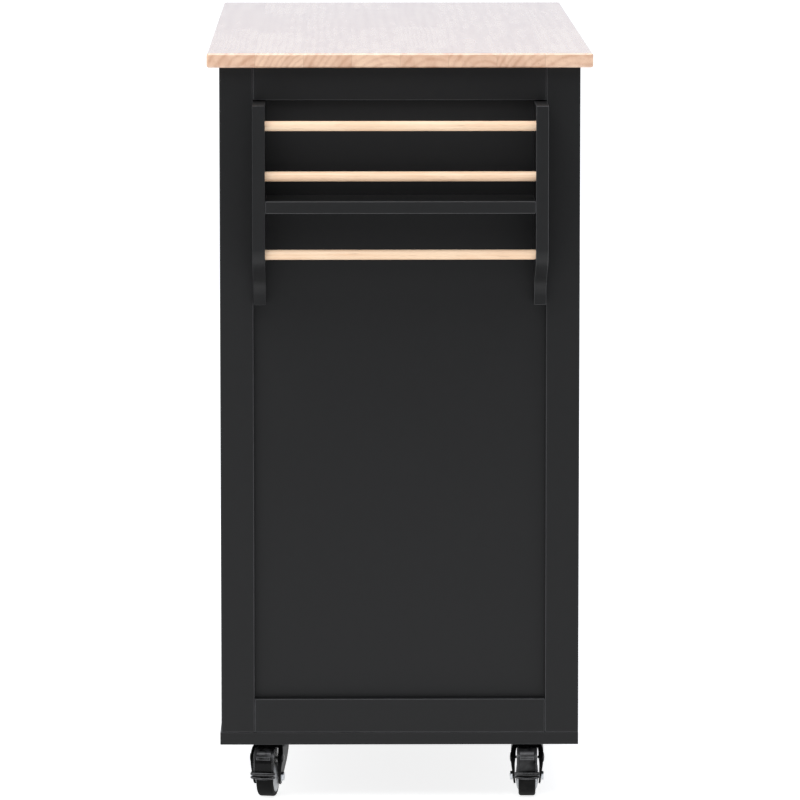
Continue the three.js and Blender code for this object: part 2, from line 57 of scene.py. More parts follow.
SLOT_OF = {part["node"]: part["material_slot"] for part in record["subparts"]}
JOINT = {joint["name"]: joint for joint in frame["joints"]}
BODY_OF = {node: body for body, nodes in record["behaviour"]["bodies"].items() for node in nodes}
MM = 0.001

# %% [markdown]
# ## The camera
# A long lens from seven metres away keeps the upright edges of the cabinet almost parallel, as a
# product picture wants. The camera stands a little left of the cart's middle and looks down on the
# worktop, so the top shows as a narrow trapezium. It could be aimed with constraints, but a
# direction turned into a rotation is shorter, and nothing is left to evaluate later.

# %% Camera
top_low, top_high = (Vector(corner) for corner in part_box("worktop"))
end_face = Vector((top_high.x, (top_low.y + top_high.y) / 2, 0))
CAMERA_DISTANCE = 7.175
CAMERA_TO_FRONT = 0.073
CAMERA_HEIGHT = top_high.z + 0.4665
AIM_HEIGHT = 0.5011

camera = bpy.data.objects.new("camera", bpy.data.cameras.new("camera"))
camera.data.sensor_width = 36
camera.data.lens = 266.2
eye = end_face + Vector((CAMERA_DISTANCE, -CAMERA_TO_FRONT, CAMERA_HEIGHT))
aim = end_face + Vector((0, 0, AIM_HEIGHT))
camera.location = eye
camera.rotation_euler = (aim - eye).to_track_quat("-Z", "Y").to_euler()
bpy.context.scene.collection.objects.link(camera)
bpy.context.scene.camera = camera
bpy.context.scene.view_settings.view_transform = "Standard"
print("camera at", [round(value, 3) for value in eye])

# %% [markdown]
# ## Sums on sockets
# A material is a net of nodes, and sums such as "half of this plus that" take many Math nodes. One
# small class wraps a socket, so that `+`, `-`, `*` and `/` make those nodes. A second class holds the
# net itself and makes every other kind of node in one method: settings first, then the inputs. The
# alternative, wiring each node by hand, hides the idea of a material under its plumbing.

# %% A socket that can be added and multiplied


class Wire:
    """One output of a node. Sums on it add Math nodes to the same net."""

    def __init__(self, net, socket):
        self.net = net
        self.socket = socket

    def math(self, operation, *values):
        return self.net.node("ShaderNodeMath", {"operation": operation}, dict(enumerate(values)))

    def __add__(self, other):
        return self.math("ADD", self, other)

    def __radd__(self, other):
        return self.math("ADD", other, self)

    def __sub__(self, other):
        return self.math("SUBTRACT", self, other)

    def __rsub__(self, other):
        return self.math("SUBTRACT", other, self)

    def __mul__(self, other):
        return self.math("MULTIPLY", self, other)

    def __rmul__(self, other):
        return self.math("MULTIPLY", other, self)

    def __truediv__(self, other):
        return self.math("DIVIDE", self, other)

    def __rtruediv__(self, other):
        return self.math("DIVIDE", other, self)

    def __pow__(self, other):
        return self.math("POWER", self, other)

    def floor(self):
        return self.math("FLOOR", self)

    def wave(self):
        """A sine, brought into the range from 0 to 1."""
        return self.math("SINE", self) * 0.5 + 0.5

    def between(self, low, high):
        """0 below low, 1 above high, and smooth in between."""
        settings = {"interpolation_type": "SMOOTHSTEP"}
        return self.net.node("ShaderNodeMapRange", settings, {0: self, 1: low, 2: high})


# %% The net of nodes


class Net:
    """The node tree of a material or a world."""

    def __init__(self, owner):
        owner.use_nodes = True
        self.owner = owner
        self.tree = owner.node_tree
        self.tree.nodes.clear()

    def node(self, kind, settings=None, inputs=None, output=0):
        made = self.tree.nodes.new(kind)
        for key, value in (settings or {}).items():
            setattr(made, key, value)
        for key, value in (inputs or {}).items():
            if isinstance(value, Wire):
                self.tree.links.new(value.socket, made.inputs[key])
            else:
                made.inputs[key].default_value = value
        return Wire(self, made.outputs[output]) if made.outputs else None

    def place(self, stretch=(1, 1, 1)):
        """The point on the piece, in metres, with each axis multiplied by its stretch."""
        point = self.node("ShaderNodeTexCoord", output="Object")
        return self.node("ShaderNodeMapping", None, {"Vector": point, "Scale": stretch})

    def axes(self):
        inputs = {0: self.place()}
        return [self.node("ShaderNodeSeparateXYZ", None, inputs, output=i) for i in range(3)]

    def noise(self, scale, detail=3, stretch=(1, 1, 1), distortion=0):
        inputs = {"Vector": self.place(stretch), "Scale": scale}
        inputs |= {"Detail": detail, "Distortion": distortion}
        return self.node("ShaderNodeTexNoise", None, inputs)

    def luck(self, number):
        """A random value from 0 to 1 that stays the same for the same number."""
        return self.node("ShaderNodeTexWhiteNoise", {"noise_dimensions": "1D"}, {"W": number})

    def mix(self, share, first, second):
        colours = [value if isinstance(value, Wire) else (*value, 1) for value in (first, second)]
        inputs = {0: share, 6: colours[0], 7: colours[1]}
        return self.node("ShaderNodeMix", {"data_type": "RGBA"}, inputs, output=2)

    def bump(self, height, depth, strength=1.0):
        inputs = {"Height": height, "Distance": depth, "Strength": strength}
        return self.node("ShaderNodeBump", None, inputs)

    def arris(self):
        """1 on the eased edges of a piece and 0 on its faces."""
        return self.node("ShaderNodeAttribute", {"attribute_name": "arris"}, output="Fac")

    def surface(self, **sockets):
        """The shader itself. Sockets are given by name, with _ for each space."""
        inputs = {key.replace("_", " "): value for key, value in sockets.items()}
        shader = self.node("ShaderNodeBsdfPrincipled", None, inputs)
        self.node("ShaderNodeOutputMaterial", None, {"Surface": shader})
        return self.owner


def material(name):
    return Net(bpy.data.materials.new(name))


MATERIALS = {}

# %% [markdown]
# ## Studio light
# A black cabinet mostly shows what it mirrors, so the room matters more than the lamps. The floor is
# a light table: a pale sheet that glows, so that the cart casts almost no shadow and light comes up
# from below. The world is a soft gradient, bright behind the cart, where the worktop mirrors it at a
# flat angle and turns almost white, and dim on the camera's side, which keeps the paint black. One
# soft lamp lights the worktop from above, one the rack end, and one the doors and drawers.

# %% World and lamps
BEHIND = (0.75, 0.80, 0.88)
CAMERA_SIDE = (0.16, 0.16, 0.165)

sky = Net(bpy.data.worlds.new("studio"))
bpy.context.scene.world = sky.owner
direction = sky.node("ShaderNodeTexCoord", output="Generated")
sides = [sky.node("ShaderNodeSeparateXYZ", None, {0: direction}, output=i) for i in range(3)]
towards_camera = (sides[0] - sides[2] * 0.8 + 1.0) * 0.5
light_colour = sky.mix(towards_camera.between(0.05, 0.95), BEHIND, CAMERA_SIDE)
background = sky.node("ShaderNodeBackground", None, {"Color": light_colour, "Strength": 1.0})
sky.node("ShaderNodeOutputWorld", None, {"Surface": background})


def aim_at(lamp, target):
    lamp.rotation_euler = (Vector(target) - lamp.location).to_track_quat("-Z", "Y").to_euler()


def area_lamp(name, place, target, size, watts):
    lamp = bpy.data.objects.new(name, bpy.data.lights.new(name, "AREA"))
    lamp.data.shape = "RECTANGLE"
    lamp.data.size, lamp.data.size_y = size
    lamp.data.energy = watts
    lamp.location = place
    lamp.visible_camera = False
    bpy.context.scene.collection.objects.link(lamp)
    aim_at(lamp, target)


top_middle = (top_low + top_high) / 2
area_lamp("overhead_lamp", (-0.6, 0.4, 3.4), top_middle, (3.0, 3.0), 29)
area_lamp("end_lamp", (end_face.x + 1.5, -0.5, 3.1), (end_face.x, 0, 0.5), (2.2, 2.2), 59)
area_lamp("front_lamp", (-0.4, -3.2, 1.9), (0, 0, 0.5), (2.4, 1.8), 26)

# %% [markdown]
# ## The floor
# The floor is one huge square. It has to reach far behind the cart, because the camera looks down
# by only a few degrees, and its horizon must stay above the picture. Round the cart it glows
# strongly. Far out past the rack end it glows less, so that the black paint there mirrors less.

# %% Glowing floor
FLOOR_GLOW = 0.84
CAMERA_GLOW = 0.25
floor_net = material("light_table")
past_end = (floor_net.axes()[0] - end_face.x).between(1.0, 3.4)
floor_tone = floor_net.mix(floor_net.noise(0.6), (0.54, 0.54, 0.54), (0.56, 0.56, 0.56))
floor_net.surface(
    Base_Color=floor_tone,
    Roughness=0.9,
    Specular_IOR_Level=0.1,
    Emission_Color=floor_net.mix(past_end, (FLOOR_GLOW,) * 3, (CAMERA_GLOW,) * 3),
    Emission_Strength=1.0,
)

ground = bmesh.new()
bmesh.ops.create_grid(ground, x_segments=1, y_segments=1, size=90)
floor_mesh = bpy.data.meshes.new("floor")
ground.to_mesh(floor_mesh)
ground.free()
floor_mesh.materials.append(floor_net.owner)
floor = bpy.data.objects.new("floor", floor_mesh)
bpy.context.scene.collection.objects.link(floor)
print("floor", round(floor.dimensions.x), "m across")

# %% [markdown]
# ## Black paint on board
# The cabinet is board with a sprayed satin paint. Sprayed paint has a faint "orange peel", a slight
# cloudiness from coat to coat, and it is thinner and a little smoother on the edges. The edges are
# also painted a paler grey, which is a painted highlight. A plain black would look like a hole. The
# edges are marked by an attribute that the edge-easing step writes on the faces it makes.

# %% Black paint
paint = material("black_board_paint")
cloud = paint.noise(3.2, detail=4)
grit = paint.noise(85, detail=5)
peel = paint.noise(520, detail=2)
# Painted highlight: the eased edges are painted paler, with grit in it, and made a little smoother.
painted_edge_highlight = paint.arris() * (0.35 + grit * 0.5)
paint_tone = paint.mix(cloud * 0.7 + grit * 0.3, (0.0095, 0.0095, 0.0097), (0.0150, 0.0150, 0.0152))
MATERIALS["black_paint"] = paint.surface(
    Base_Color=paint.mix(painted_edge_highlight, paint_tone, (0.075, 0.075, 0.078)),
    Roughness=0.36 + cloud * 0.12 + grit * 0.06 - painted_edge_highlight * 0.1,
    Specular_IOR_Level=0.22,
    Normal=paint.bump(peel * 0.7 + grit * 0.3, 0.00012, 0.35),
)
print("paint with", len(paint.tree.nodes), "nodes")

# %% [markdown]
# ## Timber
# Wood is a solid pattern, not a skin: year rings are cylinders round the middle of the tree, so the
# same rings run as long lines along a board and as arcs across its end. The worktop is glued from
# staves, and each stave comes from another tree, so each gets its own ring centre, tint and shift.
# A picture of wood wrapped on the slab would show the same lines on the end as on the top. Summing
# the rings from the distance to each stave's own centre gives the right face in every direction.

# %% Year rings, fibres and pores


def timber(net, along, across, up, seed, pale, deep, ring):
    """Returns a colour, how rough the fibres are and how deep they lie. along holds the stretches."""
    centre_across = net.luck(seed + 0.37) * 0.07 + 0.01
    centre_up = net.luck(seed + 0.71) * -0.04 - 0.034
    wander = (net.noise(6, detail=2, stretch=along[0]) - 0.5) * 0.03
    ripple = (net.noise(46, detail=3, stretch=along[0]) - 0.5) * 0.006
    from_centre_across = across - centre_across + wander
    from_centre_up = up - centre_up
    radius = (from_centre_across * from_centre_across + from_centre_up * from_centre_up) ** 0.5
    years = (radius + ripple) * (2 * math.pi / (ring * (0.7 + net.luck(seed + 0.55) * 0.9)))
    ring_line = years.wave() ** 2.0
    blotch = net.noise(62, detail=3, stretch=along[0], distortion=0.6).between(0.3, 0.7)
    fibre = net.noise(420, detail=3, stretch=along[1])
    pore = net.noise(900, detail=1, stretch=along[2]).between(0.66, 0.74)
    warmth = net.luck(seed + 0.13)
    depth = ring_line * 0.30 + fibre * 0.14 + warmth * 0.30 + blotch * 0.38
    tone = net.mix(depth, pale, deep)
    tone = net.mix(pore * 0.45, tone, tuple(channel * 0.6 for channel in deep))
    return tone, fibre, pore + ring_line * 0.3


ALONG_X = ((0.16, 1, 1), (0.022, 1, 1), (0.05, 1, 1))
ALONG_Y = ((1, 0.16, 1), (1, 0.022, 1), (1, 0.05, 1))
print("timber stretches its rings", round(1 / ALONG_X[0][0]), "times along the board")

# %% [markdown]
# ## The worktop's wood
# Rubberwood staves run the long way, and each row is itself a chain of shorter boards joined end to
# end. The joints sit at different places in every row. The finish is a clear satin lacquer: a coat
# over the wood, which mirrors strongly at a flat angle.

# %% Lacquered worktop
STAVE_WIDTH = 0.0588
BOARD_LENGTH = 0.42

top = material("lacquered_rubberwood")
top_x, top_y, top_z = top.axes()
row_place = (top_y - top_low.y) / STAVE_WIDTH
row = row_place.floor()
chain = top_x / BOARD_LENGTH + top.luck(row) * 5.0 + 9.0
board = row * 13.0 + chain.floor()
in_row = (row_place - row - 0.5) * STAVE_WIDTH
PALE_WOOD = (0.95, 0.66, 0.46)
DEEP_WOOD = (0.62, 0.33, 0.20)
WIDE_RINGS = 0.0066
top_tone, top_fibre, top_relief = timber(
    top, ALONG_X, in_row, top_z - top_high.z, board, PALE_WOOD, DEEP_WOOD, WIDE_RINGS
)
glue = top.node("ShaderNodeMath", {"operation": "PINGPONG"}, {0: row_place, 1: 0.5})
butt = top.node("ShaderNodeMath", {"operation": "PINGPONG"}, {0: chain, 1: 0.5})
glue_line = 1 - glue.between(0.004, 0.012)
butt_line = 1 - butt.between(0.0006, 0.0018)
seam = glue_line.math("MAXIMUM", glue_line, butt_line)
MATERIALS["worktop_wood"] = top.surface(
    Base_Color=top.mix(seam * 0.22, top_tone, (0.40, 0.22, 0.13)),
    Roughness=0.32 + top_fibre * 0.16,
    Specular_IOR_Level=0.6,
    Coat_Weight=1.0,
    Coat_Roughness=0.1,
    Coat_IOR=1.7,
    Normal=top.bump(1 - top_relief * 0.6 - seam * 0.8, 0.00003, 0.12),
)
print("worktop of", round((top_high.y - top_low.y) / STAVE_WIDTH), "rows of staves")

# %% [markdown]
# ## The dowels' wood
# The rails and the towel bar are turned from straight pale pine, so the grain runs along the bar and
# the rings show as fine streaks. The same timber sums do it, with the grain along Y.

# %% Pale dowel wood
BAR_CELL = 0.03
PALE_PINE = (0.98, 0.76, 0.54)
DEEP_PINE = (0.84, 0.55, 0.35)
FINE_RINGS = 0.0036

pine = material("pale_dowel_wood")
pine_x, _, pine_z = pine.axes()
bar = (pine_z / BAR_CELL).floor()
height_in_bar = pine_z * 0.9 - bar * (0.9 * BAR_CELL)
pine_tone, pine_fibre, pine_relief = timber(
    pine, ALONG_Y, pine_x - 0.5, height_in_bar, bar, PALE_PINE, DEEP_PINE, FINE_RINGS
)
MATERIALS["dowel_wood"] = pine.surface(
    Base_Color=pine_tone,
    Roughness=0.42 + pine_fibre * 0.2,
    Specular_IOR_Level=0.45,
    Coat_Weight=0.3,
    Coat_Roughness=0.3,
    Normal=pine.bump(1 - pine_relief, 0.00006, 0.5),
)

# %% [markdown]
# ## The drawers' board
# Drawer boxes are folded from board with a printed dark foil. Foil has a fine embossed texture and
# is duller than the paint. Its cut edges show a paler line.

# %% Foil on board
foil = material("dark_drawer_foil")
emboss = foil.noise(300, detail=3, stretch=(1, 0.08, 1))
foil_cloud = foil.noise(9, detail=3)
foil_tone = foil.mix(foil_cloud * 0.5 + emboss * 0.5, (0.030, 0.030, 0.032), (0.060, 0.060, 0.063))
MATERIALS["drawer_board"] = foil.surface(
    Base_Color=foil.mix(foil.arris() * 0.4, foil_tone, (0.16, 0.15, 0.14)),
    Roughness=0.55 + emboss * 0.2,
    Specular_IOR_Level=0.35,
    Normal=foil.bump(emboss, 0.0001, 0.4),
)

# %% [markdown]
# ## Metals
# Satin nickel and zinc plate differ only in tint, roughness and grain: both get fine scratches and
# a cloudy shine. The powder coat on the forks is a dull plastic skin over steel with a pebbly
# surface, so it isn't metallic at all. It has paler scuffs, and its eased edges are painted paler
# as a painted highlight.

# %% Nickel, zinc and powder coat


def plated(name, pale, deep, roughness, grain_scale, stretch):
    """Bare plated metal with fine scratches along one direction and a cloudy shine."""
    net = material(name)
    scratches = net.noise(grain_scale, detail=4, stretch=stretch)
    patches = net.noise(55, detail=4)
    return net.surface(
        Base_Color=net.mix(patches * 0.6 + scratches * 0.4, pale, deep),
        Metallic=1.0,
        Roughness=roughness + scratches * 0.14 + patches * 0.08,
        Normal=net.bump(scratches, 0.00003, 0.4),
    )


ALONG_THE_PLATE = (1, 0.1, 1)
MATERIALS["nickel"] = plated(
    "satin_nickel", (0.68, 0.66, 0.62), (0.50, 0.48, 0.44), 0.2, 900, ALONG_THE_PLATE
)
MATERIALS["zinc"] = plated(
    "zinc_plate", (0.70, 0.72, 0.74), (0.46, 0.48, 0.51), 0.24, 500, ALONG_THE_PLATE
)

coat = material("black_powder_coat")
pebble = coat.noise(1300, detail=2)
scuff = coat.noise(140, detail=5).between(0.52, 0.75)
# Paler scuffs, and a painted highlight on the eased edges.
coat_scuffs_and_edge_highlight = coat.arris() * 0.6 + scuff * 0.12
MATERIALS["black_steel"] = coat.surface(
    Base_Color=coat.mix(coat_scuffs_and_edge_highlight, (0.0040, 0.0040, 0.0042), (0.055, 0.055, 0.057)),
    Roughness=0.34 + scuff * 0.2,
    Specular_IOR_Level=0.07,
    Normal=coat.bump(pebble, 0.00005, 0.25),
)
print(sorted(MATERIALS), "so far")

# %% [markdown]
# ## Plastics and rubber
# The pedal is moulded in a hard black plastic, semi-gloss, with paler flow marks, and with a painted
# highlight on its eased edges and on its top.
# The wheel's hub is grey plastic. The tyre is a dull black rubber that picks up floor dust. Keeping
# the dust to the tread would take the distance from each wheel's own axle, and one material serves
# all four wheels, so the dust is a patchy noise all over.

# %% Plastics and rubber


def moulded(name, tone, pale, roughness, level, top_highlight_and_mottle, slot):
    """A moulded surface: fine spark texture, faint flow marks, a painted highlight on the eased edges, and paler
    patches from the function passed in.
    """
    net = material(name)
    spark = net.noise(1600, detail=2)
    flow = net.noise(38, detail=4, distortion=0.8)
    # Painted highlights on the eased edges and from the function passed in, together with the paler flow marks.
    painted_highlights_and_flow_marks = net.arris() * 0.6 + flow.between(0.45, 0.8) * 0.25 + top_highlight_and_mottle(net)
    MATERIALS[slot] = net.surface(
        Base_Color=net.mix(painted_highlights_and_flow_marks, tone, pale),
        Roughness=roughness + spark * 0.06 + flow * 0.12,
        Specular_IOR_Level=level,
        Normal=net.bump(spark, 0.00005, 0.35),
    )


def painted_top_highlight(net):
    """A painted highlight on the upper part of a pedal, in patches."""
    return net.axes()[2].between(0.047, 0.057) * net.noise(120, detail=3).between(0.2, 0.8) * 0.8


def untouched(net):
    return net.noise(300, detail=1) * 0.05


moulded(
    "black_pedal_plastic", (0.0035,) * 3, (0.24, 0.24, 0.245), 0.15, 0.14, painted_top_highlight, "black_plastic"
)
moulded(
    "grey_hub_plastic", (0.40, 0.41, 0.42), (0.55, 0.56, 0.57), 0.35, 0.5, untouched, "grey_plastic"
)

rubber = material("black_tyre_rubber")
rubber_grain = rubber.noise(900, detail=3)
dust = rubber.noise(70, detail=5).between(0.42, 0.7)
dusty = dust * 0.7 + rubber_grain * 0.2
MATERIALS["black_rubber"] = rubber.surface(
    Base_Color=rubber.mix(dusty, (0.0050, 0.0050, 0.0052), (0.015, 0.0147, 0.0144)),
    Roughness=0.55 + dust * 0.25,
    Specular_IOR_Level=0.07,
    Normal=rubber.bump(rubber_grain, 0.0001, 0.5),
)

# %% [markdown]
# ## From a mesh to a piece of the cart
# Every piece below ends in the same few steps: write the mesh, give it its material, say which body
# it rides on, and hide the CAD nodes that it stands for. Weighted normals keep a flat board flat to
# the eye right up to its rounded edge. Rounding every sharp edge a little is what makes a model
# catch light as a made thing does, so easing has its own function, which also marks its new faces.

# %% Finish a piece
PIECES = []


def new_piece(name, bm, slot, body, replaces=(), smooth=35):
    bmesh.ops.remove_doubles(bm, verts=bm.verts, dist=1e-6)
    mesh = bpy.data.meshes.new(name)
    bm.to_mesh(mesh)
    bm.free()
    for face in mesh.polygons:
        face.use_smooth = True
    mesh.set_sharp_from_angle(angle=math.radians(smooth))
    mesh.materials.append(MATERIALS[slot])
    piece = bpy.data.objects.new(name, mesh)
    bpy.context.scene.collection.objects.link(piece)
    normals = piece.modifiers.new("flat_faces", "WEIGHTED_NORMAL")
    normals.keep_sharp = True
    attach(piece, body)
    if replaces:
        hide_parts(*replaces)
    PIECES.append(piece)


def ease(bm, radius, segments=3, angle=28, edges=None):
    """Rounds the outer sharp edges, and marks the new faces in the attribute "arris"."""
    mark = bm.faces.layers.float.get("arris") or bm.faces.layers.float.new("arris")
    sharp = [
        edge
        for edge in (edges or bm.edges)
        if edge.is_manifold and edge.is_convex and edge.calc_face_angle() > math.radians(angle)
    ]
    made = bmesh.ops.bevel(
        bm, geom=sharp, offset=radius, offset_type="OFFSET", affect="EDGES",
        segments=segments, profile=0.5, material=-1, clamp_overlap=True,
    )
    for face in made["faces"]:
        face[mark] = 1.0


# %% [markdown]
# ## Painted boards
# Stiles, rails, panels, shelves, doors and drawer fronts have their right shape in the CAD already.
# They only lack the softly rounded edges that sanding and paint give. Rather than model each again,
# a copy of the CAD mesh is welded, its flat triangles are merged back to whole faces, and its outer
# edges are rounded. A Bevel modifier could do it live, but then the edge faces couldn't be marked.

# %% Boards with eased edges


def copy_of(node):
    """A welded copy of a CAD node, with its flat faces whole again."""
    bm = bmesh.new()
    bm.from_mesh(frame["nodes"][node].data)
    bmesh.ops.remove_doubles(bm, verts=bm.verts, dist=1e-5)
    bmesh.ops.dissolve_limit(bm, angle_limit=math.radians(0.5), verts=bm.verts, edges=bm.edges)
    return bm


def board(node, radius, prefix):
    bm = copy_of(node)
    ease(bm, radius)
    return new_piece(f"{prefix}_{node}", bm, SLOT_OF[node], BODY_OF[node], [node])


BOARD_ARRIS = 0.96 * MM
FINE_ARRIS = 0.6 * MM
for node, slot in SLOT_OF.items():
    if slot == "black_paint":
        fine = "panel" in node or "bracket" in node
        board(node, FINE_ARRIS if fine else BOARD_ARRIS, "painted")
    if slot == "drawer_board":
        board(node, FINE_ARRIS, "foiled")
print(len(PIECES), "boards with eased edges")

# %% [markdown]
# ## The worktop slab
# The slab is one thick board to the eye, with a rounded edge that a router leaves. A cube, set to
# the CAD's box and rounded in five steps, is the whole shape. Its ends are rounded in the same
# pass, so the corners blend as they do on the real slab.

# %% Worktop
ROUTED_EDGE = 3 * MM


def block(low, high, bm=None):
    """Adds a box between two corners."""
    bm = bm or bmesh.new()
    low, high = Vector(low), Vector(high)
    made = bmesh.ops.create_cube(bm, size=1)
    bmesh.ops.scale(bm, vec=high - low, verts=made["verts"])
    bmesh.ops.translate(bm, vec=(low + high) / 2, verts=made["verts"])
    return bm


slab = block(top_low, top_high)
ease(slab, ROUTED_EDGE, segments=5)
new_piece("worktop_slab", slab, "worktop_wood", "cabinet", ["worktop"])
print("worktop", [round(value, 3) for value in top_high - top_low], "m")

# %% [markdown]
# ## Turned pieces
# Dowels, wheels, screws and hinge pins are all round, so one function turns a profile about an axis,
# as a lathe does. The profile is a few points of distance along the axis and radius. A dowel's
# corners are rounded afterwards by easing, which is how a turner sands them.

# %% A lathe


def lathe(profile, centre, axis, steps=48, bm=None):
    """Spins points of (along, radius) round an axis through centre."""
    bm = bm or bmesh.new()
    axis = Vector(axis).normalized()
    side = axis.orthogonal().normalized()
    start = Vector(centre)
    verts = [bm.verts.new(start + axis * along + side * radius) for along, radius in profile]
    edges = [bm.edges.new(pair) for pair in zip(verts, verts[1:])]
    bmesh.ops.spin(
        bm, geom=verts + edges, cent=start, axis=axis, angle=2 * math.pi, steps=steps, use_merge=True
    )
    bmesh.ops.remove_doubles(bm, verts=bm.verts, dist=1e-6)
    bmesh.ops.recalc_face_normals(bm, faces=bm.faces)
    return bm


def middle(node):
    low, high = (Vector(corner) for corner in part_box(node))
    return low, high, (low + high) / 2


for node in ("rack_upper_rail", "rack_lower_rail", "rack_towel_bar"):
    low, high, centre = middle(node)
    half = (high.y - low.y) / 2
    radius = (high.z - low.z) / 2
    profile = [(-half, 0), (-half, radius), (-half * 0.5, radius)]
    profile += [(-along, reach) for along, reach in reversed(profile)]
    dowel = lathe(profile, centre, (0, 1, 0), steps=64)
    ease(dowel, 0.8 * MM, segments=2)
    new_piece(f"turned_{node}", dowel, "dowel_wood", "cabinet", [node])
print("three dowels,", round(radius * 2000, 1), "mm thick")

# %% [markdown]
# ## Screws
# Screws turn up all over a cart, so they get one function. They are countersunk and almost flush,
# because rollers and a closing door pass close to some of them. A screw is a few millimetres wide,
# so a handful of faces is enough. The tips of pins and pivots are rounded with a shallow dome.

# %% Domes and flush screws


def dome(radius, height, start, steps=6):
    """Points of a shallow dome that ends on the axis, for the lathe."""
    turns = [step / steps * math.pi / 2 for step in range(steps + 1)]
    return [(start + height * math.sin(turn), radius * math.cos(turn)) for turn in turns]


def flat_head(bm, centre, axis, radius):
    """A countersunk screw head, almost flush, with a shallow socket."""
    socket = 0.02 * MM
    profile = [(0, 0), (0, radius), (0.12 * MM, radius * 0.93), (0.15 * MM, radius * 0.4)]
    profile += [(socket, radius * 0.3), (socket, 0)]
    lathe(profile, centre, axis, steps=16, bm=bm)


# %% [markdown]
# ## Pivot hinges
# Each door turns on two flat pivot hinges, above and below it, near its face. Nothing of such a hinge
# stands out in front of the cart. One leaf is screwed to the rail and carries the pin. The other is
# screwed to the door's edge. The leaves are thin plates with one round end, and the CAD's outline is
# right, so a copy of it is eased, and the pin gets a rounded tip.

# %% Hinge leaves and pins
PIN_RADIUS = 2 * MM
LEAF_ARRIS = 0.12 * MM

for side in ("left", "right"):
    pin = Vector(JOINT[f"{side}_door_hinge"]["pos_m"])
    for place, out in (("upper", 1), ("lower", -1)):
        node = f"{side}_door_{place}_hinge"
        low, high, _ = middle(node)
        fixed = copy_of(node)
        ease(fixed, LEAF_ARRIS, segments=2, angle=60)
        tip = low.z if out > 0 else high.z
        point = [(0, PIN_RADIUS), *dome(PIN_RADIUS, 0.9 * MM, 0.05 * MM, 4)]
        lathe([(0, 0), *point], (pin.x, pin.y, tip + out * 0.95 * MM), (0, 0, -out), 24, fixed)
        new_piece(f"{node}_fixed_leaf", fixed, "nickel", "cabinet", [node])

        leaf = f"{node}_leaf"
        leaf_low, leaf_high, _ = middle(leaf)
        swinging = copy_of(leaf)
        ease(swinging, LEAF_ARRIS, segments=2, angle=60)
        new_piece(f"{node}_door_leaf", swinging, "nickel", f"{side}_door", [leaf])
print("four pivot hinges, leaves", round((leaf_high.z - leaf_low.z) * 1000, 2), "mm thick")

# %% [markdown]
# ## Magnetic catches
# A door on free pivots would swing open by itself, so a magnetic catch under the middle rail holds
# it: a black housing with two steel poles on the cabinet, and a striker plate on the door's back.
# These are small boxes with eased edges, because the real ones are.

# %% Catches
CATCH = Vector((0.046, 0.013, 0.012))
CATCH_INSET = 0.16
CATCH_GAP = 2.6 * MM
STRIKER = Vector((0.038, 1.2 * MM, CATCH.z - 3 * MM))
rail_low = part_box("middle_rail")[0]
for side, towards_end in (("left", -1), ("right", 1)):
    door_low, door_high, _ = middle(f"{side}_door")
    free_edge = door_high.x if towards_end < 0 else door_low.x
    x = free_edge + towards_end * CATCH_INSET
    back = door_high.y
    housing_low = Vector((x - CATCH.x / 2, back + CATCH_GAP, rail_low[2] - CATCH.z - 0.2 * MM))
    housing = block(housing_low, housing_low + CATCH)
    ease(housing, 1.2 * MM, segments=3)
    new_piece(f"{side}_catch_housing", housing, "black_plastic", "cabinet")
    poles = bmesh.new()
    for z in (0.25, 0.62):
        pole_low = housing_low + Vector((6 * MM, -0.8 * MM, CATCH.z * z))
        block(pole_low, pole_low + Vector((CATCH.x - 12 * MM, 3 * MM, 1.6 * MM)), poles)
    ease(poles, 0.3 * MM, segments=2)
    new_piece(f"{side}_catch_poles", poles, "zinc", "cabinet")
    striker_low = Vector((x - STRIKER.x / 2, back + 0.1 * MM, housing_low.z + 1 * MM))
    striker = block(striker_low, striker_low + STRIKER)
    ease(striker, 0.4 * MM, segments=2)
    striker_middle = striker_low + Vector((STRIKER.x / 2, STRIKER.y, STRIKER.z / 2))
    flat_head(striker, striker_middle, (0, 1, 0), 1.8 * MM)
    new_piece(f"{side}_catch_striker", striker, "zinc", f"{side}_door")
print("two catches,", round(CATCH_INSET * 1000), "mm from the doors' free edges")

# %% [markdown]
# ## Drawer runners
# Under each drawer side runs a channel of folded steel, screwed to the cabinet, with a nylon roller
# at its mouth. The drawer carries a thin angle with a second roller at its back end, which runs
# inside the channel, past screws that are countersunk for it. The CAD channel has the right shape
# already, so it only gets eased edges.

# %% Runners, angles and rollers
ROLLER_RADIUS = 8 * MM
ROLLER_WIDTH = 6 * MM
ROLLER_INSET = 14 * MM
ROLLER_GAP = 1.2 * MM
WEB_THICKNESS = 1.5 * MM
SCREW_INSET = 50 * MM
RUNNER_SCREW = 3.6 * MM
ANGLE_THICKNESS = 1.0 * MM
ANGLE_HALF_HEIGHT = 14 * MM
ANGLE_GAP = 0.1 * MM


def roller(centre, hand):
    half = ROLLER_WIDTH / 2
    profile = [(-half, 0), (-half, ROLLER_RADIUS), (half, ROLLER_RADIUS)]
    profile += [(half, 3 * MM), (half + 0.8 * MM, 0)]
    wheel = lathe(profile, centre, (-hand, 0, 0), 40)
    ease(wheel, 0.6 * MM, segments=2, angle=50)
    return wheel


